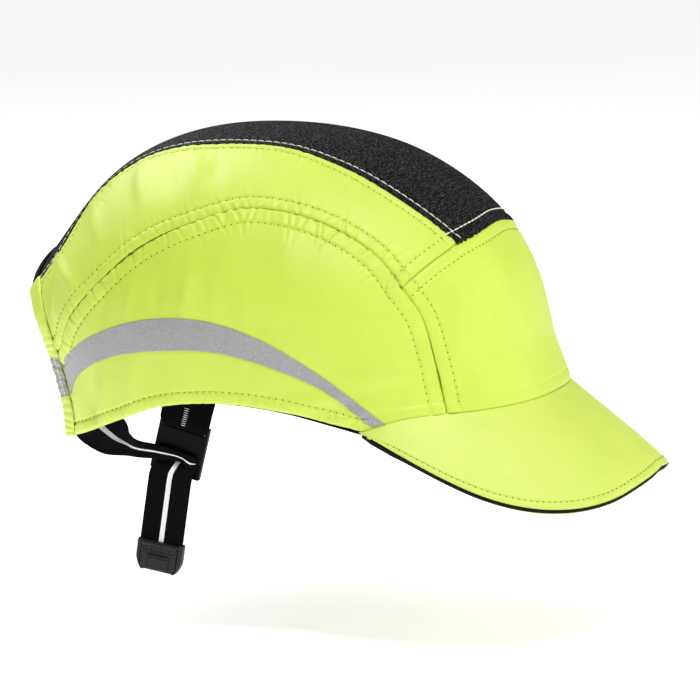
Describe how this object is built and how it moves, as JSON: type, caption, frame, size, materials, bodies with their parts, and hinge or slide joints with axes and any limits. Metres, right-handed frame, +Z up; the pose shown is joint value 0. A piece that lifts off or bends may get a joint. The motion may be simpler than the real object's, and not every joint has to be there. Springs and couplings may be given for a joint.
{
  "type": "bump cap",
  "caption": "Short-peak bump cap: hard shell under high-visibility fabric panels with a crown mesh strip, reflective side bands and an adjustable nape strap.",
  "frame": {"origin": "centre of the head opening, at the level where the crown is widest", "axes": "+X towards the peak, +Y towards the wearer's left, +Z up"},
  "size_m": [0.2701, 0.1874, 0.1795],
  "materials": {
    "hi_vis_fabric": "fine woven polyester, fluorescent yellow",
    "mesh_fabric": "ribbed black air mesh",
    "lining": "black lining tape",
    "reflective": "silver grey retroreflective tape, fine sparkle",
    "shell_plastic": "moulded ABS",
    "foam": "closed-cell foam with a fabric face",
    "sweatband_fabric": "terry sweatband",
    "board": "plain stiffener, covered",
    "webbing": "ribbed black webbing with a pale stripe",
    "buckle_plastic": "smooth moulded plastic",
    "clip_plastic": "satin moulded plastic"
  },
  "bodies": {
    "cap": {"front_panel": "hi_vis_fabric", "right_side_panel": "hi_vis_fabric", "left_side_panel": "hi_vis_fabric", "right_shoulder_panel": "hi_vis_fabric", "left_shoulder_panel": "hi_vis_fabric", "right_rear_binding": "hi_vis_fabric", "left_rear_binding": "hi_vis_fabric", "peak_top_cover": "hi_vis_fabric", "peak_under_cover": "hi_vis_fabric", "crown_mesh": "mesh_fabric", "right_hem_lining": "lining", "left_hem_lining": "lining", "mesh_binding": "lining", "peak_edge_trim": "lining", "right_reflective_tape": "reflective", "left_reflective_tape": "reflective", "protective_shell": "shell_plastic", "right_foam_pad": "foam", "left_foam_pad": "foam", "front_foam_pad": "foam", "rear_foam_pad": "foam", "crown_foam_pad": "foam", "sweatband": "sweatband_fabric", "peak_board": "board", "nape_strap": "webbing", "right_strap_anchor": "webbing", "left_strap_anchor": "webbing"},
    "buckle": {"buckle_webbing": "webbing", "buckle_frame": "buckle_plastic"},
    "tail": {"strap_tail": "webbing"},
    "clip": {"clip_body": "clip_plastic"},
    "jaw": {"clip_jaw": "clip_plastic"}
  },
  "joints": [
    {"name": "buckle_swing", "type": "hinge", "parent": "cap", "child": "buckle", "pos_m": [-0.0115, -0.084, -0.0273], "axis": [0.9724, 0, -0.2334], "range_deg": [-45, 25], "deforming": ["nape_strap"]},
    {"name": "tail_swing", "type": "hinge", "parent": "buckle", "child": "tail", "pos_m": [-0.0184, -0.0862, -0.0537], "axis": [0.9893, 0, -0.1461], "range_deg": [-60, 0]},
    {"name": "tail_slide", "type": "slide", "parent": "tail", "child": "clip", "axis": [-0.1461, 0, -0.9893], "range_m": [-0.018, 0.03], "deforming": ["strap_tail"]},
    {"name": "clip_jaw_hinge", "type": "hinge", "parent": "clip", "child": "jaw", "pos_m": [-0.02271, -0.0876, -0.08288], "axis": [0.9893, 0, -0.1461], "range_deg": [-100, 0]}
  ]
}
